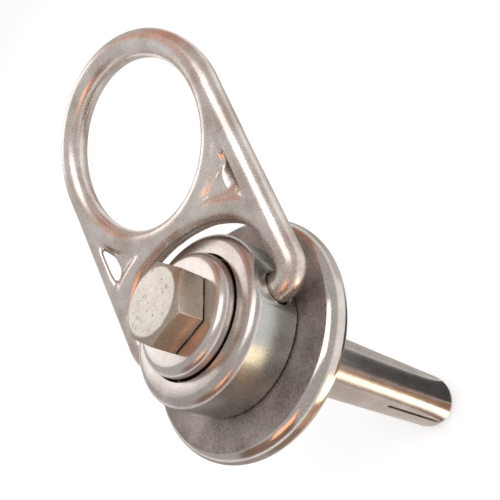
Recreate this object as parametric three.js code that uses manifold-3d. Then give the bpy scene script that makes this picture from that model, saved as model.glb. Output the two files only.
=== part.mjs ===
// Swivel D-ring roof anchor with a slotted expansion sleeve.
//
// Millimetres, +Z up. The origin is the centre of the back face of the base
// flange. The bolt's axis is +Z, with the hex head up and the sleeve below.
// The D-ring's pins lie on X, and the ring leans towards +Y.

import * as THREE from "three";
import { mergeVertices } from "three/addons/utils/BufferGeometryUtils.js";
import Module from "manifold-3d";

const wasm = await Module();
wasm.setup();

// ---------------------------------------------------------------- dimensions

const SEGMENTS = 48; // round a turned piece
const BAR_SIDES = 14; // round the D-ring's bar

// Base flange, with a bullnose rim round a matt face
const BASE_RADIUS = 41.35;
const BASE_RIM_ROUND = 5.3;
const BASE_RIM_Z = 7.0;
const BASE_FACE_RADIUS = 38.4;
const BASE_FACE_Z = 11.7;
const BASE_STEP_RADIUS = 37.4;
const BASE_STEP_Z = 1.6;
const BASE_WASHER_POCKET_RADIUS = 24.4;
const BASE_WASHER_POCKET_Z = 10.3;
const BASE_BUSH_POCKET_RADIUS = 14.8;
const BASE_BUSH_POCKET_Z = 7.6;
const BASE_SLEEVE_POCKET_RADIUS = 12.45;
const BASE_SLEEVE_POCKET_Z = 4.0;

// Bolt, M16 with a 24 mm hex
const BOLT_RADIUS = 8.0;
const THREAD_RADIUS = 7.8;
const BOLT_BORE_RADIUS = 8.45;
const HEAD_ACROSS_FLATS = 24.0;
const HEAD_BOTTOM_Z = 35.5;
const HEAD_TOP_Z = 45.4;
const HEAD_CHAMFER_RADIUS = 10.8;
const HEAD_TURN_DEG = 22.5;
const BOLT_END_Z = -118.0;
const THREAD_START_Z = -70.0;

// Flanged bush
const FLANGE_RADIUS = 19.9;
const FLANGE_TOP_Z = 35.2;
const FLANGE_BOTTOM_Z = 27.6;
const FLANGE_ROUND = 3.0;
const BUSH_RADIUS = 14.4;
const BUSH_BOTTOM_Z = 7.9;

// Bearing pieces
const LINER_INNER_RADIUS = 14.7;
const LINER_OUTER_RADIUS = 16.6;
const LINER_TOP_Z = 25.4;
const LINER_BOTTOM_Z = 12.4;
const TOP_WASHER_OUTER_RADIUS = 20.1;
const TOP_WASHER_BOTTOM_Z = 26.0;
const TOP_WASHER_TOP_Z = 27.3;
const LOW_WASHER_INNER_RADIUS = 15.1;
const LOW_WASHER_OUTER_RADIUS = 24.0;
const LOW_WASHER_BOTTOM_Z = 10.6;
const LOW_WASHER_TOP_Z = 11.8;

// Swivel body
const BODY_RADIUS = 28.2;
const BODY_BOTTOM_Z = 12.1;
const BODY_TOP_Z = 30.3;
const BODY_EDGE_Z = 28.2;
const BODY_FACE_RADIUS = 24.9;
const COUNTERBORE_RADIUS = 20.5;
const COUNTERBORE_Z = 25.7;
const BODY_BORE_RADIUS = 16.9;
const BODY_FLAT_X = 27.2;
const PIN_Z = 19.0;
const PIN_HOLE_RADIUS = 5.15;
const PIN_HOLE_CHAMFER = 0.5;
const PIN_HOLE_END_X = 18.9;

// D-ring, drawn flat with u along the pins and v away from them
const BAR_RADIUS = 4.8;
const LEG_BAR_RADIUS = 4.75;
const ARCH_BAR_RADIUS = 4.6;
const RING_TILT_DEG = 64.0; // from the bolt's axis
const EYE_CENTRE_V = 69.8;
const EYE_BAR_CENTRE = 35.0;
const LEG_U = 34.6;
const PIN_BEND_RADIUS = 6.3;
const PIN_END_U = 19.3;
const ARCH_RADIUS = 64.5;
const ARCH_TOP_V = 34.7;
const GUSSET_RADIUS = 4.0;
const FILL_HALF_THICKNESS = 3.7;
const SADDLE_HALF_THICKNESS = 3.2;
const WEB_HALF_THICKNESS = 1.8;
const WINDOW_BAR_WAY = [-0.679, -0.313, 0.664]; // outward, v and normal parts

// Expansion sleeve and cone nut
const SLEEVE_RADIUS = 12.05;
const SLEEVE_BORE_RADIUS = 8.5;
const SLEEVE_TOP_Z = 3.7;
const SLEEVE_END_Z = -122.3;
const SLEEVE_MOUTH_RADIUS = 10.7;
const SLEEVE_TAPER_Z = -99.3;
const SLEEVE_NOSE = 3.2;
const SLOT_WIDTH = 1.2;
const SLOT_TOP_Z = -74.0;
const SLOT_COUNT = 3;
const SLOT_ANGLE_DEG = 44;
const CONE_BORE_RADIUS = 8.15;
const CONE_TOP_RADIUS = 8.6;
const CONE_TOP_Z = -104.8;
const CONE_BASE_RADIUS = 10.4;
const CONE_BASE_Z = -122.9;
const CONE_END_Z = -124.1;

// ------------------------------------------------------------------- helpers

function solidOf(geometry) {
  const bare = geometry.index ? geometry.toNonIndexed() : geometry.clone();
  bare.deleteAttribute("normal");
  bare.deleteAttribute("uv");
  const merged = mergeVertices(bare, 1e-4);
  return new wasm.Manifold(
    new wasm.Mesh({
      numProp: 3,
      vertProperties: new Float32Array(merged.attributes.position.array),
      triVerts: new Uint32Array(merged.index.array),
    }),
  );
}

// Joins vertices closer than the tolerance and drops the faces that close up.
function cleaned(solid, tolerance) {
  const merged = mergeVertices(geometryOf(solid).deleteAttribute("normal"), tolerance);
  const index = merged.index.array;
  const kept = [];
  for (let i = 0; i < index.length; i += 3) {
    const [a, b, c] = [index[i], index[i + 1], index[i + 2]];
    if (a !== b && b !== c && c !== a) kept.push(a, b, c);
  }
  merged.setIndex(kept);
  return solidOf(merged);
}

function geometryOf(solid) {
  const mesh = solid.getMesh();
  const geometry = new THREE.BufferGeometry();
  geometry.setAttribute(
    "position",
    new THREE.BufferAttribute(mesh.vertProperties.slice(), 3),
  );
  geometry.setIndex(new THREE.BufferAttribute(mesh.triVerts.slice(), 1));
  geometry.computeVertexNormals();
  return geometry;
}

// A closed [radius, z] profile turned round Z. The profile runs
// anticlockwise in the r-z plane.
function turned(profile, segments = SEGMENTS) {
  const points = profile.map(([r, z]) => new THREE.Vector2(r, z));
  points.push(points[0].clone());
  const geometry = new THREE.LatheGeometry(points, segments);
  geometry.rotateX(Math.PI / 2);
  return solidOf(geometry);
}

// Points on an arc, from one angle to the other in degrees.
function arc(x, y, radius, from, to, steps) {
  const points = [];
  for (let i = 0; i <= steps; i++) {
    const a = THREE.MathUtils.degToRad(from + ((to - from) * i) / steps);
    points.push([x + radius * Math.cos(a), y + radius * Math.sin(a)]);
  }
  return points;
}

function prism(points, bottom, top) {
  const shape = new THREE.Shape(points.map(([x, y]) => new THREE.Vector2(x, y)));
  const geometry = new THREE.ExtrudeGeometry(shape, {
    depth: top - bottom,
    bevelEnabled: false,
    steps: 1,
  });
  geometry.translate(0, 0, bottom);
  return solidOf(geometry);
}

// A round bar along a list of [u, v] points, in the plane z = 0.
function bar(points, radius, steps) {
  const stops = points.map(([u, v]) => new THREE.Vector3(u, v, 0));
  const curve = new THREE.CatmullRomCurve3(stops, false, "centripetal");
  const section = new THREE.Shape();
  for (let i = 0; i < BAR_SIDES; i++) {
    const a = ((i + 0.5) / BAR_SIDES) * 2 * Math.PI;
    const x = radius * Math.cos(a);
    const y = radius * Math.sin(a);
    if (i === 0) section.moveTo(x, y);
    else section.lineTo(x, y);
  }
  section.closePath();
  const geometry = new THREE.ExtrudeGeometry(section, {
    steps,
    extrudePath: curve,
    bevelEnabled: false,
  });
  return solidOf(geometry);
}

function line(from, to, steps) {
  const points = [];
  for (let i = 0; i <= steps; i++) {
    const t = i / steps;
    points.push([from[0] + (to[0] - from[0]) * t, from[1] + (to[1] - from[1]) * t]);
  }
  return points;
}

// -------------------------------------------------------------------- pieces

function makeBase() {
  return turned([
    [BASE_SLEEVE_POCKET_RADIUS, 0],
    [BASE_STEP_RADIUS - 0.5, 0],
    [BASE_STEP_RADIUS, 0.5],
    [BASE_STEP_RADIUS, BASE_STEP_Z],
    ...arc(BASE_RADIUS - BASE_RIM_ROUND, BASE_RIM_Z, BASE_RIM_ROUND, -68, 60, 10),
    [BASE_FACE_RADIUS, BASE_FACE_Z],
    [BASE_WASHER_POCKET_RADIUS, BASE_FACE_Z],
    [BASE_WASHER_POCKET_RADIUS, BASE_WASHER_POCKET_Z],
    [BASE_BUSH_POCKET_RADIUS, BASE_WASHER_POCKET_Z],
    [BASE_BUSH_POCKET_RADIUS, BASE_BUSH_POCKET_Z],
    [BOLT_BORE_RADIUS, BASE_BUSH_POCKET_Z],
    [BOLT_BORE_RADIUS, BASE_SLEEVE_POCKET_Z],
    [BASE_SLEEVE_POCKET_RADIUS, BASE_SLEEVE_POCKET_Z],
  ]);
}

function makeBolt() {
  const corner = HEAD_ACROSS_FLATS / Math.sqrt(3);
  const hex = [];
  for (let i = 0; i < 6; i++) {
    const a = THREE.MathUtils.degToRad(60 * i + HEAD_TURN_DEG);
    hex.push([corner * Math.cos(a), corner * Math.sin(a)]);
  }
  const drop = (corner + 0.5 - HEAD_CHAMFER_RADIUS) * 0.47;
  const blank = turned([
    [0, HEAD_BOTTOM_Z],
    [corner + 0.5, HEAD_BOTTOM_Z],
    [corner + 0.5, HEAD_TOP_Z - drop],
    [HEAD_CHAMFER_RADIUS, HEAD_TOP_Z],
    [0, HEAD_TOP_Z],
  ]);
  const head = prism(hex, HEAD_BOTTOM_Z, HEAD_TOP_Z).intersect(blank);
  const shank = turned(
    [
      [0, BOLT_END_Z],
      [THREAD_RADIUS - 1.2, BOLT_END_Z],
      [THREAD_RADIUS, BOLT_END_Z + 1.2],
      [THREAD_RADIUS, THREAD_START_Z],
      [BOLT_RADIUS, THREAD_START_Z + 0.4],
      [BOLT_RADIUS, HEAD_BOTTOM_Z + 1],
      [0, HEAD_BOTTOM_Z + 1],
    ],
    40,
  );
  return head.add(shank);
}

function makeBush() {
  return turned([
    [BOLT_BORE_RADIUS, BUSH_BOTTOM_Z],
    [BUSH_RADIUS - 0.6, BUSH_BOTTOM_Z],
    [BUSH_RADIUS, BUSH_BOTTOM_Z + 0.6],
    [BUSH_RADIUS, FLANGE_BOTTOM_Z],
    [FLANGE_RADIUS - 0.4, FLANGE_BOTTOM_Z],
    [FLANGE_RADIUS, FLANGE_BOTTOM_Z + 0.4],
    ...arc(
      FLANGE_RADIUS - FLANGE_ROUND,
      FLANGE_TOP_Z - FLANGE_ROUND,
      FLANGE_ROUND,
      0,
      90,
      6,
    ),
    [BOLT_BORE_RADIUS + 0.5, FLANGE_TOP_Z],
    [BOLT_BORE_RADIUS, FLANGE_TOP_Z - 0.5],
  ]);
}

function makeRingWasher(inner, outer, bottom, top) {
  return turned([
    [inner, bottom],
    [outer, bottom],
    [outer, top],
    [inner, top],
  ]);
}

function makeBody() {
  const turnedBody = turned([
    [BODY_BORE_RADIUS, BODY_BOTTOM_Z],
    [BODY_RADIUS - 0.5, BODY_BOTTOM_Z],
    [BODY_RADIUS, BODY_BOTTOM_Z + 0.5],
    [BODY_RADIUS, BODY_EDGE_Z],
    [27.75, 29.1],
    [27.0, 29.75],
    [26.0, 30.15],
    [BODY_FACE_RADIUS, BODY_TOP_Z],
    [COUNTERBORE_RADIUS + 0.35, BODY_TOP_Z],
    [COUNTERBORE_RADIUS, BODY_TOP_Z - 0.35],
    [COUNTERBORE_RADIUS, COUNTERBORE_Z],
    [BODY_BORE_RADIUS, COUNTERBORE_Z],
  ]);
  let solid = turnedBody;
  for (const side of [1, -1]) {
    const slab = new THREE.BoxGeometry(6, 30, 40);
    slab.translate(side * (BODY_FLAT_X + 3), 0, 8);
    solid = solid.subtract(solidOf(slab));
    const hole = turned([
      [0, 0],
      [PIN_HOLE_RADIUS, 0],
      [PIN_HOLE_RADIUS, BODY_FLAT_X - PIN_HOLE_END_X - PIN_HOLE_CHAMFER],
      [PIN_HOLE_RADIUS + PIN_HOLE_CHAMFER + 1, BODY_FLAT_X - PIN_HOLE_END_X + 1],
      [0, BODY_FLAT_X - PIN_HOLE_END_X + 1],
    ], 32);
    const placed = solidOf(
      geometryOf(hole)
        .rotateY((side * Math.PI) / 2)
        .translate(side * PIN_HOLE_END_X, 0, PIN_Z),
    );
    solid = solid.subtract(placed);
  }
  return solid;
}

// The D-ring lies in the plane z = 0 here, with its pins on the u axis.
function makeRing() {
  const eye = new THREE.TorusGeometry(EYE_BAR_CENTRE, BAR_RADIUS, BAR_SIDES, 46);
  eye.translate(0, EYE_CENTRE_V, 0);
  let solid = solidOf(eye);
  const reach = Math.hypot(LEG_U, EYE_CENTRE_V - PIN_BEND_RADIUS);
  const lean =
    Math.atan2(PIN_BEND_RADIUS - EYE_CENTRE_V, LEG_U) +
    Math.acos(EYE_BAR_CENTRE / reach);
  const touch = [
    EYE_BAR_CENTRE * Math.cos(lean),
    EYE_CENTRE_V + EYE_BAR_CENTRE * Math.sin(lean),
  ];
  for (const side of [1, -1]) {
    const inside = LEG_U - PIN_BEND_RADIUS;
    const leg = [
      ...line([PIN_END_U, 0], [inside, 0], 2).slice(0, -1),
      ...arc(inside, PIN_BEND_RADIUS, PIN_BEND_RADIUS, -90, 0, 6),
      ...line([LEG_U, PIN_BEND_RADIUS], touch, 3).slice(1),
      ...arc(0, EYE_CENTRE_V, EYE_BAR_CENTRE - 0.4, 12, 24, 1),
    ];
    solid = solid.add(bar(leg.map(([u, v]) => [side * u, v]), LEG_BAR_RADIUS, 26));
    const gusset = [
      [side * 16, 32.4],
      [side * 24, 28.6],
      [side * 28.9, 25.2],
      [side * 32.2, 20.8],
      [side * 34.2, 14.5],
    ];
    solid = solid.add(bar(gusset, GUSSET_RADIUS, 6));
    const fill = [[side * 34.5, 27], [side * 12, 34], ...gusset];
    if (side < 0) fill.reverse();
    solid = solid.add(prism(fill, -FILL_HALF_THICKNESS, FILL_HALF_THICKNESS));
    const saddle = [
      [14, 35.5],
      [22, 31],
      [34, 28],
      [34, 42],
      [30.6, 42.5],
      [26.5, 39.6],
      [21, 37.6],
    ].map(([u, v]) => [side * u, v]);
    if (side < 0) saddle.reverse();
    solid = solid.add(prism(saddle, -SADDLE_HALF_THICKNESS, SADDLE_HALF_THICKNESS));
  }
  const archSpan = THREE.MathUtils.radToDeg(Math.asin(LEG_U / ARCH_RADIUS));
  const arch = arc(
    0,
    ARCH_TOP_V - ARCH_RADIUS,
    ARCH_RADIUS,
    90 - archSpan,
    90 + archSpan,
    12,
  );
  solid = solid.add(bar(arch, ARCH_BAR_RADIUS, 14));
  for (const side of [1, -1]) {
    const web = prism(
      side > 0
        ? [[8, 33], [34, 26], [34.5, 66], [33, 60], [22, 40]]
        : [[-8, 33], [-22, 40], [-33, 60], [-34.5, 66], [-34, 26]],
      -WEB_HALF_THICKNESS,
      WEB_HALF_THICKNESS,
    );
    solid = solid.add(web);
  }
  // Triangular side windows, cut on a slant through the web and the leg
  const [outward, along, normal] = WINDOW_BAR_WAY;
  const window = [
    [30.2, 35.6],
    [32.6, 33.4],
    [35.2, 32.6],
    [35.9, 36.5],
    [36.2, 46.5],
    [35.2, 46.8],
    [30.6, 40.8],
  ];
  for (const side of [1, -1]) {
    const outline = window.map(([u, v]) => [side * u, v]);
    if (side < 0) outline.reverse();
    const cut = geometryOf(prism(outline, -14, 14));
    const shear = new THREE.Matrix4().set(
      1, 0, (side * outward) / normal, 0,
      0, 1, along / normal, 0,
      0, 0, 1, 0,
      0, 0, 0, 1,
    );
    cut.applyMatrix4(shear);
    solid = solid.subtract(solidOf(cut));
  }
  return cleaned(solid, 0.01);
}

function makeSleeve() {
  let solid = turned([
    [SLEEVE_MOUTH_RADIUS, SLEEVE_END_Z],
    [SLEEVE_RADIUS - 1.0, SLEEVE_END_Z],
    [SLEEVE_RADIUS - 0.45, SLEEVE_END_Z + 0.7],
    [SLEEVE_RADIUS - 0.12, SLEEVE_END_Z + SLEEVE_NOSE * 0.6],
    [SLEEVE_RADIUS, SLEEVE_END_Z + SLEEVE_NOSE],
    [SLEEVE_RADIUS, SLEEVE_TOP_Z - 0.4],
    [SLEEVE_RADIUS - 0.4, SLEEVE_TOP_Z],
    [SLEEVE_BORE_RADIUS, SLEEVE_TOP_Z],
    [SLEEVE_BORE_RADIUS, SLEEVE_TAPER_Z],
  ]);
  for (let i = 0; i < SLOT_COUNT; i++) {
    const slot = new THREE.BoxGeometry(20, SLOT_WIDTH, SLOT_TOP_Z - SLEEVE_END_Z + 5);
    slot.translate(14, 0, (SLOT_TOP_Z + SLEEVE_END_Z - 5) / 2);
    const turn = (i * 360) / SLOT_COUNT + SLOT_ANGLE_DEG;
    slot.rotateZ(THREE.MathUtils.degToRad(turn));
    solid = solid.subtract(solidOf(slot));
  }
  return solid;
}

function makeCone() {
  return turned([
    [CONE_BORE_RADIUS, CONE_END_Z],
    [CONE_BASE_RADIUS - 0.8, CONE_END_Z],
    [CONE_BASE_RADIUS, CONE_END_Z + 0.7],
    [CONE_BASE_RADIUS, CONE_BASE_Z],
    [CONE_TOP_RADIUS, CONE_TOP_Z],
    [CONE_BORE_RADIUS, CONE_TOP_Z],
  ]);
}

// --------------------------------------------------------------------- scene

function piece(name, solid, color, roughness, metalness = 1) {
  const mesh = new THREE.Mesh(
    geometryOf(solid),
    new THREE.MeshStandardMaterial({ color, roughness, metalness }),
  );
  mesh.name = name;
  return mesh;
}

const anchor = new THREE.Group();
anchor.add(piece("base_flange", makeBase(), 0x8d8681, 0.42));
anchor.add(piece("hex_bolt", makeBolt(), 0xb9b4ab, 0.5));
anchor.add(piece("flanged_bush", makeBush(), 0xd2cdc8, 0.18));
anchor.add(piece("swivel_body", makeBody(), 0xb3b0ac, 0.25));
anchor.add(
  piece(
    "bearing_liner",
    makeRingWasher(LINER_INNER_RADIUS, LINER_OUTER_RADIUS, LINER_BOTTOM_Z, LINER_TOP_Z),
    0xa8824a,
    0.5,
  ),
);
anchor.add(
  piece(
    "upper_thrust_washer",
    makeRingWasher(
      LINER_INNER_RADIUS,
      TOP_WASHER_OUTER_RADIUS,
      TOP_WASHER_BOTTOM_Z,
      TOP_WASHER_TOP_Z,
    ),
    0xa8824a,
    0.5,
  ),
);
anchor.add(
  piece(
    "lower_thrust_washer",
    makeRingWasher(
      LOW_WASHER_INNER_RADIUS,
      LOW_WASHER_OUTER_RADIUS,
      LOW_WASHER_BOTTOM_Z,
      LOW_WASHER_TOP_Z,
    ),
    0xa8824a,
    0.5,
  ),
);

const ring = piece("d_ring", makeRing(), 0xc9c2bb, 0.35);
ring.position.set(0, 0, PIN_Z);
ring.rotation.x = THREE.MathUtils.degToRad(90 - RING_TILT_DEG);
anchor.add(ring);

anchor.add(piece("expansion_sleeve", makeSleeve(), 0xbdb5ad, 0.2));
anchor.add(piece("cone_nut", makeCone(), 0x9a9896, 0.35));

export default anchor;
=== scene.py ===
"""Swivel D-ring roof anchor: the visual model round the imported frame.

Lengths are written in millimetres and turned into metres as meshes are made.
The frame is the part's own: +Z up, origin at the centre of the base's back
face, bolt on Z, D-ring pins on X.
"""

import math

import bmesh
import bpy
from mathutils import Matrix, Vector


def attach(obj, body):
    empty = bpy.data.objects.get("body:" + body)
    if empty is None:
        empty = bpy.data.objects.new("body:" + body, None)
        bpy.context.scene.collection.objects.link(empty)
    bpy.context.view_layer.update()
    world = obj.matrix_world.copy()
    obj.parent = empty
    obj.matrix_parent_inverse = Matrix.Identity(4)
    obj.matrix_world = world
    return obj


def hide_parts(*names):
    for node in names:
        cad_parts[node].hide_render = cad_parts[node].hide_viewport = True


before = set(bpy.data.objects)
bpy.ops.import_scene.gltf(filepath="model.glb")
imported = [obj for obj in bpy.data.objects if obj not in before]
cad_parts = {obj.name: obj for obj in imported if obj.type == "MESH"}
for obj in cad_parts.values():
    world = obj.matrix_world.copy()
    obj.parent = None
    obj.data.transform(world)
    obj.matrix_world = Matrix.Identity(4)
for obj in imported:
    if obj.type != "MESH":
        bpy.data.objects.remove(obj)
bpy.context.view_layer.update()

MM = 0.001

# ---------------------------------------------------------------- dimensions

BASE_RIM_CENTRE_R, BASE_RIM_Z, BASE_RIM_ROUND = 36.05, 7.0, 5.3
BASE_FACE_R, BASE_FACE_Z = 38.4, 11.7
BASE_STEP_R, BASE_STEP_Z = 37.4, 1.6
BASE_WASHER_R, BASE_WASHER_Z = 24.4, 10.3  # pockets in the base, from the top down
BASE_BUSH_R, BASE_BUSH_Z = 14.8, 7.6
BASE_SLEEVE_R, BASE_SLEEVE_Z = 12.45, 4.0
BOLT_HOLE_R = 8.45  # in the base and the bush

BUSH_R, BUSH_BOTTOM = 14.4, 7.9
FLANGE_R, FLANGE_BOTTOM, FLANGE_TOP, FLANGE_ROUND = 19.9, 27.6, 35.2, 3.0

HEAD_FLATS, HEAD_BOTTOM, HEAD_TOP = 24.0, 35.5, 45.4
HEAD_CHAMFER_R, HEAD_SLOPE, HEAD_TURN = 10.8, 0.47, 22.5
SHANK_R, THREAD_TOP, BOLT_END = 8.0, -70.0, -118.0
THREAD_PITCH, THREAD_DEPTH = 2.0, 1.1

BODY_R, BODY_BORE_R, BODY_BOTTOM, BODY_TOP = 28.2, 16.9, 12.1, 30.3
BODY_FACE_R, BODY_DOME = 24.9, 3.3  # the dome's arc joins the face to the side
BODY_FLAT_X, PIN_Z = 27.2, 19.0
COUNTERBORE_R, COUNTERBORE_Z = 20.5, 25.7
PIN_HOLE_R, PIN_HOLE_END = 5.15, 18.9

# The ring is drawn flat, with its pins on the line v = 0, and then tilted up.
BAR_R, LEG_R, ARCH_R, GUSSET_R = 4.9, 4.85, 4.7, 4.1
FILL_HALF, SADDLE_HALF, WEB_HALF = 3.7, 2.7, 1.5
RING_TILT = math.radians(64.0)
EYE_V, EYE_BAR = 69.8, 35.0
LEG_U, BEND_R, PIN_END_U = 34.6, 6.3, 19.3
ARCH_CURVE, ARCH_TOP = 64.5, 34.7
SADDLE = [(14, 35.5), (21, 37.6), (26.5, 39.6), (30.6, 42.5), (34, 42), (34, 28), (22, 31)]
WEB = [(8, 33), (34, 26), (34.5, 66), (33, 60), (22, 40)]
GUSSET = [(16, 32.4), (24, 28.6), (28.9, 25.2), (32.2, 20.8), (34.2, 14.5)]
WINDOW = [(30.2, 35.6), (32.6, 33.4), (35.2, 32.6), (35.9, 36.5),
          (36.2, 46.5), (35.2, 46.8), (30.6, 40.8)]
WINDOW_WAY = (-0.679, -0.313, 0.664)  # the slant the windows are cut along
RING_VOXEL = 0.5
EYE_STEPS, EYE_SIDES = 160, 32
BAR_SMOOTHING, JOIN_SMOOTHING = 5, 22

SLEEVE_R, SLEEVE_BORE, SLEEVE_TOP, SLEEVE_END = 12.05, 8.5, 3.7, -122.3
SLEEVE_TAPER, SLEEVE_MOUTH = -99.3, 10.7
SLOT_COUNT, SLOT_WIDTH, SLOT_TOP, SLOT_TURN = 3, 1.2, -74.0, 44.0

CONE_BORE, CONE_WIDE_R, CONE_NARROW_R = 8.15, 10.4, 8.6
CONE_END, CONE_TOP = -124.1, -104.8

FLOOR_Z = -126.0

SHARP_DEG = 32.0  # faces that meet at more than this keep a sharp edge

# -------------------------------------------------------------------- meshes


def new_piece(name, verts, faces, sharp=SHARP_DEG):
    mesh = bpy.data.meshes.new(name)
    mesh.from_pydata([(x * MM, y * MM, z * MM) for x, y, z in verts], [], faces)
    piece = bpy.data.objects.new(name, mesh)
    bpy.context.scene.collection.objects.link(piece)
    tidy_mesh(piece, sharp)
    return piece


def tidy_mesh(piece, sharp):
    bm = bmesh.new()
    bm.from_mesh(piece.data)
    bmesh.ops.remove_doubles(bm, verts=bm.verts, dist=1e-6)
    bmesh.ops.dissolve_degenerate(bm, dist=1e-7, edges=bm.edges)
    bmesh.ops.recalc_face_normals(bm, faces=bm.faces)
    bm.to_mesh(piece.data)
    bm.free()
    shade(piece, sharp)


def shade(piece, sharp):
    piece.data.polygons.foreach_set("use_smooth", [True] * len(piece.data.polygons))
    if sharp:
        piece.data.set_sharp_from_angle(angle=math.radians(sharp))
    piece.data.update()


def bake_modifiers(piece):
    graph = bpy.context.evaluated_depsgraph_get()
    mesh = bpy.data.meshes.new_from_object(piece.evaluated_get(graph))
    piece.modifiers.clear()
    old = piece.data
    piece.data = mesh
    bpy.data.meshes.remove(old)


def rounded(points, steps=4):
    """A closed profile whose (r, z, fillet) corners are rounded."""
    out = []
    for i, (r, z, fillet) in enumerate(points):
        corner = Vector((r, z))
        if fillet <= 0:
            out.append((r, z))
            continue
        back = Vector(points[i - 1][:2]) - corner
        ahead = Vector(points[(i + 1) % len(points)][:2]) - corner
        room = 0.45 * min(back.length, ahead.length)
        back.normalize()
        ahead.normalize()
        opening = back.angle(ahead)
        if not 0.05 < opening < 3.1:
            out.append((r, z))
            continue
        reach = min(fillet / math.tan(opening / 2), room)
        start, end = corner + back * reach, corner + ahead * reach
        for k in range(steps + 1):
            t = k / steps
            p = start * (1 - t) ** 2 + corner * 2 * t * (1 - t) + end * t * t
            out.append((p.x, p.y))
    return out


def plain(points):
    """Profile points with no fillet."""
    return [(r, z, 0) for r, z in points]


def arc(x, y, radius, first, last, steps):
    points = []
    for i in range(steps + 1):
        a = math.radians(first + (last - first) * i / steps)
        points.append((x + radius * math.cos(a), y + radius * math.sin(a)))
    return points


def grid_faces(rows, columns, close_rows):
    faces = []
    for i in range(rows if close_rows else rows - 1):
        j = (i + 1) % rows
        for k in range(columns):
            n = (k + 1) % columns
            faces.append((i * columns + k, i * columns + n, j * columns + n, j * columns + k))
    return faces


def lathe(name, profile, columns):
    verts = []
    for r, z in profile:
        for k in range(columns):
            a = 2 * math.pi * k / columns
            verts.append((r * math.cos(a), r * math.sin(a), z))
    return new_piece(name, verts, grid_faces(len(profile), columns, True))


def prism(name, outline, low, high):
    verts = [(x, y, low) for x, y in outline] + [(x, y, high) for x, y in outline]
    n = len(outline)
    faces = [tuple(range(n - 1, -1, -1)), tuple(range(n, 2 * n))]
    faces += [(i, (i + 1) % n, n + (i + 1) % n, n + i) for i in range(n)]
    return new_piece(name, verts, faces)


def cut(piece, cutters):
    for cutter in cutters:
        boolean = piece.modifiers.new("cut", "BOOLEAN")
        boolean.operation = "DIFFERENCE"
        boolean.solver = "EXACT"
        boolean.object = cutter
    bake_modifiers(piece)
    for cutter in cutters:
        bpy.data.objects.remove(cutter)


def soften_edges(piece, width):
    bevel = piece.modifiers.new("edges", "BEVEL")
    bevel.width = width * MM
    bevel.segments = 2
    bevel.limit_method = "ANGLE"
    bevel.angle_limit = math.radians(38.0)
    bevel.harden_normals = False
    bake_modifiers(piece)
    shade(piece, SHARP_DEG)


# ----------------------------------------------------------------- materials


class Nodes:
    """A short way to write a node tree."""

    def __init__(self, name):
        self.material = bpy.data.materials.new(name)
        self.material.use_nodes = True
        self.tree = self.material.node_tree
        self.shader = self.tree.nodes["Principled BSDF"]
        self.coords = self.tree.nodes.new("ShaderNodeTexCoord").outputs["Object"]

    def node(self, kind, **values):
        made = self.tree.nodes.new(kind)
        for key, value in values.items():
            setattr(made, key, value)
        return made

    def link(self, a, b):
        self.tree.links.new(a, b)

    def maths(self, operation, *inputs):
        made = self.node("ShaderNodeMath", operation=operation)
        for socket, value in zip(made.inputs, inputs):
            if isinstance(value, (int, float)):
                socket.default_value = value
            else:
                self.link(value, socket)
        return made.outputs[0]

    def scaled(self, vector, scale):
        made = self.node("ShaderNodeVectorMath", operation="MULTIPLY")
        self.link(vector, made.inputs[0])
        made.inputs[1].default_value = scale
        return made.outputs[0]

    def noise(self, vector, scale, detail=3.0, roughness=0.55):
        made = self.node("ShaderNodeTexNoise")
        self.link(vector, made.inputs["Vector"])
        made.inputs["Scale"].default_value = scale
        made.inputs["Detail"].default_value = detail
        made.inputs["Roughness"].default_value = roughness
        return made.outputs["Fac"]

    def ramp(self, value, stops):
        made = self.node("ShaderNodeValToRGB")
        self.link(value, made.inputs["Fac"])
        elements = made.color_ramp.elements
        elements[0].position, elements[0].color = stops[0][0], (*stops[0][1], 1)
        elements[1].position, elements[1].color = stops[-1][0], (*stops[-1][1], 1)
        for position, colour in stops[1:-1]:
            elements.new(position).color = (*colour, 1)
        return made.outputs["Color"]

    def spread(self, value, low, high, at=(0.3, 0.7)):
        made = self.node("ShaderNodeMapRange")
        self.link(value, made.inputs["Value"])
        made.inputs["From Min"].default_value = at[0]
        made.inputs["From Max"].default_value = at[1]
        made.inputs["To Min"].default_value = low
        made.inputs["To Max"].default_value = high
        return made.outputs["Result"]

    def turned_coords(self, wobble=0.05):
        """Coordinates that are even round Z, as a lathe's marks are."""
        split = self.node("ShaderNodeSeparateXYZ")
        self.link(self.coords, split.inputs[0])
        x, y, z = split.outputs
        radius = self.maths("SQRT", self.maths("ADD", self.maths("MULTIPLY", x, x),
                                               self.maths("MULTIPLY", y, y)))
        join = self.node("ShaderNodeCombineXYZ")
        self.link(radius, join.inputs[0])
        self.link(z, join.inputs[1])
        drift = self.maths("MULTIPLY", self.noise(self.coords, 60.0, 1.0), wobble * MM * 10)
        self.link(drift, join.inputs[2])
        return join.outputs[0]

    def bump(self, *layers):
        normal = None
        for height, distance, strength in layers:
            made = self.node("ShaderNodeBump")
            self.link(height, made.inputs["Height"])
            made.inputs["Distance"].default_value = distance * MM
            made.inputs["Strength"].default_value = strength
            if normal is not None:
                self.link(normal, made.inputs["Normal"])
            normal = made.outputs[0]
        self.link(normal, self.shader.inputs["Normal"])


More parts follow.
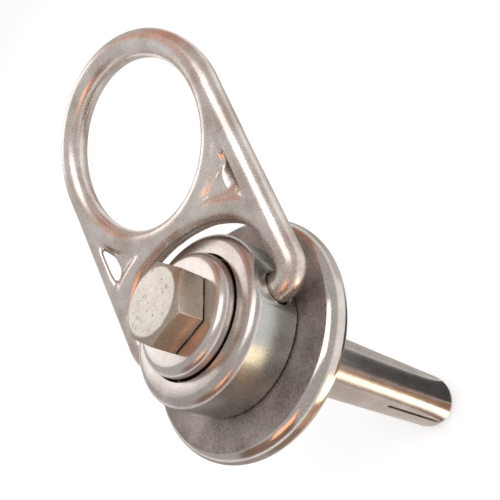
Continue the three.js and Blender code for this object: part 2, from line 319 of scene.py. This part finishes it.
def metal(name, dark, light, rough, grain, lines=None, spots=None):
    """Metal with an uneven tint, grain of a given size and bump, and tool marks.

    rough is (low, high); grain is (size in mm, bump in mm); lines is
    ("round" or "along", spacing in mm, bump in mm); spots is (size, colour).
    """
    m = Nodes(name)
    m.shader.inputs["Metallic"].default_value = 1.0
    broad = m.noise(m.coords, 1 / (14 * MM), 4.0)
    fine = m.noise(m.coords, 1 / (grain[0] * MM), 2.0, 0.6)
    mixed = m.maths("ADD", m.maths("MULTIPLY", broad, 0.6), m.maths("MULTIPLY", fine, 0.4))
    colour = m.ramp(mixed, [(0.36, dark), (0.62, light)])
    if spots:
        size, spot_colour = spots
        patch = m.noise(m.coords, 1 / (size * MM), 5.0, 0.7)
        mask = m.spread(patch, 0.0, 1.0, (0.56, 0.68))
        mix = m.node("ShaderNodeMix", data_type="RGBA")
        m.link(mask, mix.inputs["Factor"])
        m.link(colour, mix.inputs[6])
        mix.inputs[7].default_value = (*spot_colour, 1)
        colour = mix.outputs[2]
    m.link(colour, m.shader.inputs["Base Color"])
    layers = [(fine, grain[1], 1.0)]
    uneven = fine
    if lines:
        way, spacing, depth = lines
        vector = m.turned_coords() if way == "round" else m.scaled(m.coords, (1, 1, 0.03))
        marks = m.noise(vector, 1 / (spacing * MM), 3.0, 0.65)
        layers.append((marks, depth, 1.0))
        uneven = m.maths("ADD", m.maths("MULTIPLY", fine, 0.4), m.maths("MULTIPLY", marks, 0.6))
    m.link(m.spread(uneven, *rough), m.shader.inputs["Roughness"])
    m.bump(*layers)
    return m.material


BLASTED = metal("blasted_steel", (0.52, 0.41, 0.36), (0.88, 0.83, 0.79), (0.22, 0.33),
                (0.4, 0.028))
MATT_FACE = metal("matt_base_face", (0.2, 0.165, 0.15), (0.54, 0.475, 0.45), (0.42, 0.62),
                  (0.5, 0.14), None, (0.55, (0.1, 0.08, 0.075)))
POLISHED = metal("polished_rim", (0.44, 0.385, 0.35), (0.68, 0.63, 0.59), (0.12, 0.2),
                 (0.5, 0.004), ("round", 0.35, 0.006))
BUSH_METAL = metal("polished_bush", (0.52, 0.46, 0.43), (0.72, 0.67, 0.64), (0.2, 0.3),
                   (0.4, 0.006), ("round", 0.3, 0.008))
BODY_METAL = metal("turned_body", (0.46, 0.4, 0.37), (0.66, 0.61, 0.58), (0.2, 0.3),
                   (0.45, 0.008), ("round", 0.4, 0.008))
SIDE_METAL = metal("satin_waist", (0.34, 0.35, 0.33), (0.52, 0.53, 0.51), (0.22, 0.34),
                   (0.4, 0.012), ("along", 0.45, 0.012))
HEAD_TOP_METAL = metal("cast_head_top", (0.5, 0.45, 0.4), (0.76, 0.72, 0.66), (0.3, 0.5),
                       (0.7, 0.08), None, (1.6, (0.3, 0.24, 0.2)))
# Head sides and chamfer: drawn marks run along them, and their tint, darker and browner than the
# top's, is painted shade that also darkens their reflection in the flange.
HEAD_SIDE_SHADE_METAL = metal("drawn_head_side_painted_shade", (0.34, 0.275, 0.215), (0.56, 0.475, 0.4),
                        (0.24, 0.4), (0.5, 0.012), ("along", 0.5, 0.02))
SLEEVE_METAL = metal("bright_sleeve", (0.5, 0.45, 0.42), (0.68, 0.63, 0.59), (0.2, 0.3),
                     (0.5, 0.006), ("along", 0.6, 0.008))
STEEL = metal("plain_steel", (0.42, 0.41, 0.4), (0.6, 0.59, 0.57), (0.25, 0.4),
              (0.5, 0.012), ("round", 0.5, 0.01))
# Near-black painted shade for pockets, bores, the counterbore, pin holes and faces tucked between
# parts, where shade falls.
GAP_SHADE = metal("painted_gap_shade", (0.015, 0.014, 0.013), (0.05, 0.045, 0.04), (0.5, 0.7), (0.4, 0.02))
BEARING = metal("bearing_bronze", (0.34, 0.22, 0.1), (0.5, 0.34, 0.17), (0.3, 0.5),
                (0.5, 0.02), ("round", 0.5, 0.01))


def dress(piece, body, node, slot, *materials):
    for material in materials:
        piece.data.materials.append(material)
    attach(piece, body)
    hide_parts(node)


def paint(piece, choose):
    """Gives each face the material number that choose(centre, normal) says."""
    for face in piece.data.polygons:
        centre = face.center / MM
        face.material_index = choose(centre, face.normal)


# -------------------------------------------------------------------- pieces


def make_base():
    rim = arc(BASE_RIM_CENTRE_R, BASE_RIM_Z, BASE_RIM_ROUND, -66, 60, 26)
    corners = [(BASE_SLEEVE_R, 0, 0.3), (BASE_STEP_R, 0, 0.5), (BASE_STEP_R, BASE_STEP_Z, 0.25)]
    corners += plain(rim + [(38.55, 11.66)])
    corners += [(BASE_FACE_R, BASE_FACE_Z, 0.05), (36.0, BASE_FACE_Z, 0), (31.0, BASE_FACE_Z, 0)]
    corners += [(BASE_WASHER_R, BASE_FACE_Z, 0.25), (BASE_WASHER_R, BASE_WASHER_Z, 0.1)]
    corners += [(BASE_BUSH_R, BASE_WASHER_Z, 0.2), (BASE_BUSH_R, BASE_BUSH_Z, 0.1)]
    corners += [(BOLT_HOLE_R, BASE_BUSH_Z, 0.2), (BOLT_HOLE_R, BASE_SLEEVE_Z, 0.2)]
    profile = rounded(corners + [(BASE_SLEEVE_R, BASE_SLEEVE_Z, 0.1)])
    piece = lathe("base_plate", profile, 240)
    dress(piece, "fixed", "base_flange", "base_flange", POLISHED, MATT_FACE, GAP_SHADE)

    def finish(c, n):
        r = math.hypot(c.x, c.y)
        # The pockets inside the base are painted near-black as shade.
        if r < 24.6 and 3.9 < c.z < 11.5:
            return 2
        return int(r < 38.5 and c.z > 11.0)

    paint(piece, finish)


def hex_radius(angle):
    """The rounded hexagon's radius in a direction."""
    half, edge = HEAD_FLATS / 2, 0.4
    off = (math.degrees(angle) - HEAD_TURN + 30) % 60 - 30
    off = math.radians(off)  # from the nearest corner
    reach = (half - edge) / math.cos(math.radians(30))
    limit = math.atan2(edge * 0.5, reach + edge * math.cos(math.radians(30)))
    if abs(off) < limit:
        return reach * math.cos(off) + math.sqrt(edge**2 - (reach * math.sin(off)) ** 2)
    return half / math.cos(math.radians(30) - abs(off))


def make_bolt():
    angles = []
    for corner in range(6):
        for step in (-1.0, -0.6, -0.2, 0.2, 0.6, 1.0, 3, 6, 10, 15, 20, 25,
                     30, 35, 40, 45, 50, 54, 57):
            angles.append(math.radians(HEAD_TURN + 60 * corner + step))
    outer = [hex_radius(a) for a in angles]
    rows = []

    def level(radii, heights):
        rows.append([(r * math.cos(a), r * math.sin(a), z)
                     for a, r, z in zip(angles, radii, heights)])

    def even(r, z):
        level([r] * len(angles), [z] * len(angles))

    for r in (0, 2, 4, 6, 8, 9.6, 10.4):
        even(r, HEAD_TOP)
    even(10.7, HEAD_TOP - 0.01)
    even(10.95, HEAD_TOP - 0.08)
    for t in (0.25, 0.5, 0.75, 0.9, 0.97):
        radii = [10.95 + (r - 10.95) * t for r in outer]
        level(radii, [HEAD_TOP - (r - HEAD_CHAMFER_R) * HEAD_SLOPE for r in radii])
    shoulder = [HEAD_TOP - (r - HEAD_CHAMFER_R) * HEAD_SLOPE for r in outer]
    level([r - 0.01 for r in outer], [z - 0.06 for z in shoulder])
    level(outer, [z - 0.2 for z in shoulder])
    for t in (0.25, 0.5, 0.75):
        level(outer, [z + (HEAD_BOTTOM + 0.3 - z) * t for z in shoulder])
    level(outer, [HEAD_BOTTOM + 0.2] * len(angles))
    level([r - 0.06 for r in outer], [HEAD_BOTTOM + 0.05] * len(angles))
    level([r - 0.25 for r in outer], [HEAD_BOTTOM] * len(angles))
    even(11.5, HEAD_BOTTOM)
    even(11.3, HEAD_BOTTOM - 0.25)
    even(8.25, HEAD_BOTTOM - 0.25)
    for z in (35.0, 20.0, 0.0, -30.0, THREAD_TOP + 1.0):
        even(SHANK_R, z)
    steps = int((THREAD_TOP - BOLT_END - 2) / THREAD_PITCH * 8)
    for i in range(steps + 1):
        z = THREAD_TOP - i * THREAD_PITCH / 8
        depth = THREAD_DEPTH * min(1.0, i / 16)
        radii = []
        for a in angles:
            phase = (z / THREAD_PITCH - a / (2 * math.pi)) % 1.0
            ridge = min(1.0, max(0.0, 2.4 * abs(phase - 0.5) - 0.1))
            radii.append(SHANK_R - 0.1 - depth * (1 - ridge))
        level(radii, [z] * len(angles))
    even(6.6, BOLT_END + 1.2)
    even(5.9, BOLT_END)
    even(0, BOLT_END)
    verts = [p for row in rows for p in row]
    piece = new_piece("anchor_bolt", verts, grid_faces(len(rows), len(angles), False), 38)
    dress(piece, "bolt", "hex_bolt", "hex_bolt", HEAD_SIDE_SHADE_METAL, HEAD_TOP_METAL, STEEL)
    # The flat top keeps the lighter metal; the chamfer and sides take the side metal, whose darker
    # tint is painted shade.
    paint(piece, lambda c, n: 2 if c.z < 35.4 else int(n.z > 0.95))


def make_bush():
    corners = [(BOLT_HOLE_R, BUSH_BOTTOM, 0.1), (BUSH_R, BUSH_BOTTOM, 0.6)]
    corners += [(BUSH_R, FLANGE_BOTTOM, 0.2), (FLANGE_R, FLANGE_BOTTOM, 0.4)]
    corners += plain(arc(FLANGE_R - FLANGE_ROUND, FLANGE_TOP - FLANGE_ROUND, FLANGE_ROUND, 0, 90, 14))
    profile = rounded(corners + [(13.0, FLANGE_TOP, 0), (BOLT_HOLE_R, FLANGE_TOP, 0.5)])
    piece = lathe("flanged_bearing_bush", profile, 192)
    dress(piece, "fixed", "flanged_bush", "flanged_bush", BUSH_METAL, GAP_SHADE)
    # The barrel below the flange, inside the hub, is painted near-black as shade.
    paint(piece, lambda c, n: int(c.z < 28.3))


def make_body():
    profile = rounded([
        (BODY_FACE_R, BODY_TOP, 0), (COUNTERBORE_R, BODY_TOP, 0.35),
        (COUNTERBORE_R, COUNTERBORE_Z, 0.15), (BODY_BORE_R, COUNTERBORE_Z, 0.3),
        (BODY_BORE_R, BODY_BOTTOM, 0.3), (BODY_R, BODY_BOTTOM, 0.5), (BODY_R, 20.0, 0),
    ])
    profile += [(BODY_R, 27.4)]
    profile += arc(BODY_FACE_R, BODY_TOP - BODY_DOME, BODY_DOME, 4, 90, 14)[:-1]
    piece = lathe("swivel_hub", profile, 224)
    cutters = []
    for side in (1, -1):
        xs = sorted((side * BODY_FLAT_X, side * (BODY_FLAT_X + 6)))
        slab = prism("slab", [(xs[0], -16), (xs[1], -16), (xs[1], 16), (xs[0], 16)], 5, 34)
        hole = [(0, 0), (PIN_HOLE_R, 0)]
        depth = BODY_FLAT_X - PIN_HOLE_END
        hole += [(PIN_HOLE_R, depth - 0.55), (PIN_HOLE_R + 1.5, depth + 0.95), (0, depth + 0.95)]
        bore = lathe("bore", hole, 64)
        turn = Matrix.Rotation(side * math.pi / 2, 4, "Y")
        move = Matrix.Translation((side * PIN_HOLE_END * MM, 0, PIN_Z * MM))
        bore.data.transform(move @ turn)
        cutters += [slab, bore]
    cut(piece, cutters)
    soften_edges(piece, 0.22)
    dress(piece, "swivel", "swivel_body", "swivel_body", BODY_METAL, SIDE_METAL, GAP_SHADE)

    def finish(c, n):
        r = math.hypot(c.x, c.y)
        in_pin_hole = math.hypot(c.y, c.z - PIN_Z) < PIN_HOLE_R + 0.05 and abs(n.x) < 0.3
        # The pin holes, the counterbore and the underside over the base are painted near-black as
        # shade.
        if (in_pin_hole and r > 18) or (r < 20.6 and c.z < 29.9) or c.z < 12.3:
            return 2
        return int(abs(n.z) < 0.3 and c.z < 27.0)

    paint(piece, finish)


def swept(points, radius, sides=28):
    """A round bar along points in the plane z = 0, with rounded ends."""
    path = [Vector((u, v, 0)) for u, v in points]
    verts, rows = [], 0
    for i, p in enumerate(path):
        ahead = path[min(i + 1, len(path) - 1)] - path[max(i - 1, 0)]
        ahead.normalize()
        side = Vector((-ahead.y, ahead.x, 0))
        rings = [(0.0, 1.0)]
        if i == 0:
            rings = [(0.0, 0.0), (0.0, 0.86), (0.06, 0.96), (0.14, 1.0)]
        if i == len(path) - 1:
            rings = [(-0.14, 1.0), (-0.06, 0.96), (0.0, 0.86), (0.0, 0.0)]
        for along, wide in rings:
            for k in range(sides):
                a = 2 * math.pi * k / sides
                offset = side * math.cos(a) + Vector((0, 0, 1)) * math.sin(a)
                q = p + ahead * along * radius + offset * radius * wide
                verts.append(tuple(q))
            rows += 1
    return verts, grid_faces(rows, sides, False)


def smooth_line(points, spacing=1.2):
    """Points on a smooth curve through the given ones."""
    out = []
    for i in range(len(points) - 1):
        p0 = Vector(points[max(i - 1, 0)])
        p1, p2 = Vector(points[i]), Vector(points[i + 1])
        p3 = Vector(points[min(i + 2, len(points) - 1)])
        steps = max(1, round((p2 - p1).length / spacing))
        for k in range(steps):
            t = k / steps
            q = 0.5 * ((2 * p1) + (p2 - p0) * t + (2 * p0 - 5 * p1 + 4 * p2 - p3) * t * t
                       + (3 * p1 - p0 - 3 * p2 + p3) * t**3)
            out.append(tuple(q))
    out.append(tuple(points[-1]))
    return out


def make_ring():
    parts = []
    eye = [(EYE_BAR * math.cos(a), EYE_V + EYE_BAR * math.sin(a))
           for a in [2 * math.pi * k / EYE_STEPS for k in range(EYE_STEPS)]]
    verts = []
    for u, v in eye:
        way = Vector((u, v - EYE_V, 0)).normalized()
        for k in range(EYE_SIDES):
            a = 2 * math.pi * k / EYE_SIDES
            q = Vector((u, v, 0)) + (way * math.cos(a) + Vector((0, 0, 1)) * math.sin(a)) * BAR_R
            verts.append(tuple(q))
    parts.append((verts, grid_faces(EYE_STEPS, EYE_SIDES, True)))

    reach = math.hypot(LEG_U, EYE_V - BEND_R)
    lean = math.atan2(BEND_R - EYE_V, LEG_U) + math.acos(EYE_BAR / reach)
    touch = (EYE_BAR * math.cos(lean), EYE_V + EYE_BAR * math.sin(lean))
    inside = LEG_U - BEND_R
    leg = [(PIN_END_U, 0), (PIN_END_U + 4, 0), (inside, 0)]
    leg += arc(inside, BEND_R, BEND_R, -80, 0, 9)
    leg += [(LEG_U + (touch[0] - LEG_U) * t, BEND_R + (touch[1] - BEND_R) * t)
            for t in (0.15, 0.3, 0.45, 0.6, 0.75, 0.9, 1.0)]
    leg += arc(0, EYE_V, EYE_BAR, 8, 24, 3)
    span = math.degrees(math.asin(LEG_U / ARCH_CURVE))
    arch = arc(0, ARCH_TOP - ARCH_CURVE, ARCH_CURVE, 90 - span, 90 + span, 60)
    parts.append(swept(arch, ARCH_R))
    for side in (1, -1):
        for line, radius in ((leg, LEG_R), (smooth_line(GUSSET), GUSSET_R)):
            parts.append(swept([(side * u, v) for u, v in line], radius))

    verts, faces = [], []
    for part_verts, part_faces in parts:
        offset = len(verts)
        verts += part_verts
        faces += [tuple(i + offset for i in face) for face in part_faces]
    piece = new_piece("lifting_ring", verts, faces, 0)

    fills = []
    for side in (1, -1):
        corner = [(34.5, 27), (12, 34)] + GUSSET
        for outline, half in ((corner, FILL_HALF), (WEB, WEB_HALF), (SADDLE, SADDLE_HALF)):
            fills.append(prism("fill", [(side * u, v) for u, v in outline], -half, half))
    joined = bmesh.new()
    joined.from_mesh(piece.data)
    for fill in fills:
        joined.from_mesh(fill.data)
        bpy.data.objects.remove(fill)
    joined.to_mesh(piece.data)
    joined.free()
    remesh(piece)
    outward, along, normal = WINDOW_WAY
    cutters = []
    for side in (1, -1):
        window = prism("window", [(side * u, v) for u, v in WINDOW], -14, 14)
        shear = Matrix.Identity(4)
        shear[0][2] = side * outward / normal
        shear[1][2] = along / normal
        window.data.transform(shear)
        cutters.append(window)
    cut(piece, cutters)
    remesh(piece)

    # Cast fillets: the corners between bars are smoothed more than the bars.
    group = piece.vertex_groups.new(name="joins")
    for vertex in piece.data.vertices:
        u, v = abs(vertex.co.x) / MM, vertex.co.y / MM
        near = min(1.0, max(0.0, (v - 12) / 6), max(0.0, (64 - v) / 8))
        near *= min(1.0, max(0.0, (u - 6) / 8))
        if near > 0:
            group.add([vertex.index], near, "REPLACE")
    for turns, name in ((BAR_SMOOTHING, ""), (JOIN_SMOOTHING, "joins")):
        smooth = piece.modifiers.new("smooth", "SMOOTH")
        smooth.factor = 0.5
        smooth.iterations = turns
        smooth.vertex_group = name
    bake_modifiers(piece)
    piece.vertex_groups.clear()
    tilt = Matrix.Rotation(math.pi / 2 - RING_TILT, 4, "X")
    piece.data.transform(Matrix.Translation((0, 0, PIN_Z * MM)) @ tilt)
    shade(piece, 0)
    dress(piece, "ring", "d_ring", "d_ring", BLASTED)


def remesh(piece):
    voxels = piece.modifiers.new("voxels", "REMESH")
    voxels.mode = "VOXEL"
    voxels.voxel_size = RING_VOXEL * MM
    voxels.use_smooth_shade = True
    bake_modifiers(piece)


def make_sleeve():
    profile = rounded([
        (SLEEVE_MOUTH, SLEEVE_END, 0.15), (11.05, SLEEVE_END, 0.5),
        (11.75, SLEEVE_END + 1.2, 1.0), (SLEEVE_R, SLEEVE_END + 3.2, 1.5),
        (SLEEVE_R, -60.0, 0), (SLEEVE_R, -20.0, 0), (SLEEVE_R, SLEEVE_TOP, 0.4),
        (SLEEVE_BORE, SLEEVE_TOP, 0.3), (SLEEVE_BORE, -60.0, 0), (SLEEVE_BORE, SLEEVE_TAPER, 0.5),
    ])
    piece = lathe("split_sleeve", profile, 168)
    cutters = []
    half = SLOT_WIDTH / 2
    for i in range(SLOT_COUNT):
        slot = prism("slot", [(4, -half), (24, -half), (24, half), (4, half)],
                     SLEEVE_END - 6, SLOT_TOP)
        slot.data.transform(Matrix.Rotation(math.radians(360 / SLOT_COUNT * i + SLOT_TURN), 4, "Z"))
        cutters.append(slot)
    cut(piece, cutters)
    soften_edges(piece, 0.15)
    dress(piece, "fixed", "expansion_sleeve", "expansion_sleeve", SLEEVE_METAL)


def make_cone():
    profile = rounded([
        (CONE_BORE, CONE_END, 0.3), (9.6, CONE_END, 0.2), (CONE_WIDE_R, -123.4, 0.2),
        (CONE_WIDE_R, -122.9, 0.2), (CONE_NARROW_R, CONE_TOP, 0.3), (CONE_BORE, CONE_TOP, 0.05),
    ])
    piece = lathe("cone_wedge_nut", profile, 144)
    dress(piece, "cone", "cone_nut", "cone_nut", STEEL)


make_base()
make_bolt()
make_bush()
make_body()
make_ring()
make_sleeve()
make_cone()

for node in ("bearing_liner", "upper_thrust_washer", "lower_thrust_washer"):
    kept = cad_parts[node]
    if not kept.material_slots:
        kept.data.materials.append(BEARING)
    for material_slot in kept.material_slots:
        material_slot.material = BEARING

# --------------------------------------------------------------------- stage


def stage_plane(name, matrix, width, height, material, seen_by_camera):
    mesh = bpy.data.meshes.new(name)
    w, h = width / 2, height / 2
    mesh.from_pydata([(-w, -h, 0), (w, -h, 0), (w, h, 0), (-w, h, 0)], [], [(0, 1, 2, 3)])
    plane = bpy.data.objects.new(name, mesh)
    bpy.context.scene.collection.objects.link(plane)
    plane.matrix_world = matrix
    mesh.materials.append(material)
    plane.visible_camera = seen_by_camera
    plane.visible_shadow = seen_by_camera
    plane.visible_diffuse = seen_by_camera
    return plane


def glow(name, colour, strength):
    material = bpy.data.materials.new(name)
    material.use_nodes = True
    shader = material.node_tree.nodes["Principled BSDF"]
    shader.inputs["Base Color"].default_value = (0, 0, 0, 1)
    shader.inputs["Roughness"].default_value = 1.0
    shader.inputs["Specular IOR Level"].default_value = 0.0
    shader.inputs["Emission Color"].default_value = (*colour, 1)
    shader.inputs["Emission Strength"].default_value = strength
    return material


def aimed(azimuth, elevation, distance):
    a, e = math.radians(azimuth), math.radians(elevation)
    place = Vector((math.cos(e) * math.cos(a), math.cos(e) * math.sin(a), math.sin(e)))
    place *= distance
    turn = (-place).to_track_quat("-Z", "Y").to_matrix().to_4x4()
    return Matrix.Translation(place) @ turn


# A softbox gives light. A card gives none, and only shows in the metal.


def softbox(name, azimuth, elevation, distance, width, height, colour, power):
    light = bpy.data.lights.new(name, "AREA")
    light.shape = "RECTANGLE"
    light.size, light.size_y = width, height
    light.color = colour
    light.energy = power
    lamp = bpy.data.objects.new(name, light)
    bpy.context.scene.collection.objects.link(lamp)
    lamp.matrix_world = aimed(azimuth, elevation, distance)


def card(name, azimuth, elevation, distance, width, height, colour, strength):
    stage_plane(name, aimed(azimuth, elevation, distance), width, height,
                glow(name, colour, strength), False)


floor_material = bpy.data.materials.new("pale_floor")
floor_material.use_nodes = True
floor_shader = floor_material.node_tree.nodes["Principled BSDF"]
floor_shader.inputs["Base Color"].default_value = (0.9, 0.9, 0.9, 1)
floor_shader.inputs["Roughness"].default_value = 0.9
floor_shader.inputs["Specular IOR Level"].default_value = 0.0
floor_shader.inputs["Emission Color"].default_value = (1, 1, 1, 1)
floor_shader.inputs["Emission Strength"].default_value = 0.4
stage_plane("floor", Matrix.Translation((0, 0, FLOOR_Z * MM)), 12, 12, floor_material, True)

world = bpy.data.worlds.new("studio")
world.use_nodes = True
world.node_tree.nodes["Background"].inputs["Color"].default_value = (1.0, 0.99, 0.98, 1)
world.node_tree.nodes["Background"].inputs["Strength"].default_value = 0.6
bpy.context.scene.world = world

softbox("key_box", 138, 31, 1.1, 0.5, 0.5, (1.0, 0.98, 0.96), 0.95)
softbox("top_box", -6, 60, 1.2, 0.82, 0.82, (1.0, 0.99, 0.98), 3.7)
card("copper_card", 76, 30, 0.9, 0.42, 0.8, (0.5, 0.26, 0.19), 1.0)
card("rose_card", 106, 56, 0.9, 0.4, 0.5, (0.66, 0.4, 0.31), 1.0)
card("brown_card", -112, 18, 0.9, 0.85, 0.7, (0.3, 0.2, 0.155), 1.0)
card("ember_card", -98, 33, 0.8, 0.32, 0.24, (1.0, 0.5, 0.3), 2.2)


def floor_card(name, first, last, inner, outer, colour, strength):
    """A card on the floor in a sector round the bolt's axis, seen only in reflections."""
    rows = [arc(0, 0, radius, first, last, 12) for radius in (inner, outer)]
    verts = [(x * MM, y * MM, 0) for row in rows for x, y in row]
    faces = [(i, i + 1, i + 14, i + 13) for i in range(12)]
    plane = stage_plane(name, Matrix.Translation((0, 0, (FLOOR_Z + 0.5) * MM)), 1, 1,
                        glow(name, colour, strength), False)
    plane.data.clear_geometry()
    plane.data.from_pydata(verts, [], faces)


floor_card("charcoal_card", -22, 44, 13, 105, (0.09, 0.085, 0.085), 1.0)
floor_card("grey_card", 50, 146, 13, 105, (0.56, 0.54, 0.5), 1.0)
floor_card("rose_floor_card", -46, -24, 13, 105, (0.4, 0.23, 0.16), 1.0)
floor_card("warm_near_card", -64, -46, 13, 105, (1.0, 0.88, 0.66), 3.2)
floor_card("brown_floor_card", -82, -70, 13, 105, (0.3, 0.19, 0.14), 1.0)
floor_card("pale_card", -214, -86, 13, 105, (0.72, 0.66, 0.62), 1.0)
floor_card("far_left_card", -180, -120, 105, 450, (0.45, 0.41, 0.38), 1.0)
floor_card("far_brown_card", -120, -90, 105, 450, (0.32, 0.24, 0.19), 1.0)
floor_card("far_copper_card", -90, -65, 105, 450, (0.7, 0.42, 0.28), 1.0)
floor_card("far_warm_card", -65, -45, 105, 450, (1.0, 0.82, 0.58), 3.4)
floor_card("far_right_card", 30, 60, 105, 450, (0.72, 0.72, 0.7), 1.0)
floor_card("far_back_card", 60, 150, 105, 450, (0.56, 0.53, 0.5), 1.0)
floor_card("far_shade_card", 150, 180, 105, 450, (0.5, 0.47, 0.45), 1.0)

# -------------------------------------------------------------------- camera

CAMERA_PLACE = Vector((112.06, -85.12, 132.95)) * MM
CAMERA_RIGHT = Vector((0.71032, -0.12036, -0.69351))
CAMERA_UP = Vector((0.47618, 0.80776, 0.34753))
CAMERA_BACK = CAMERA_RIGHT.cross(CAMERA_UP)
CAMERA_LENS = 39.94

camera_data = bpy.data.cameras.new("camera")
camera_data.lens = CAMERA_LENS
camera_data.sensor_width = 36.0
camera_data.clip_start = 0.01
camera = bpy.data.objects.new("camera", camera_data)
bpy.context.scene.collection.objects.link(camera)
axes = Matrix((CAMERA_RIGHT, CAMERA_UP, CAMERA_BACK)).transposed()
camera.matrix_world = Matrix.Translation(CAMERA_PLACE) @ axes.to_4x4()
bpy.context.scene.camera = camera
bpy.context.scene.view_settings.view_transform = "Standard"
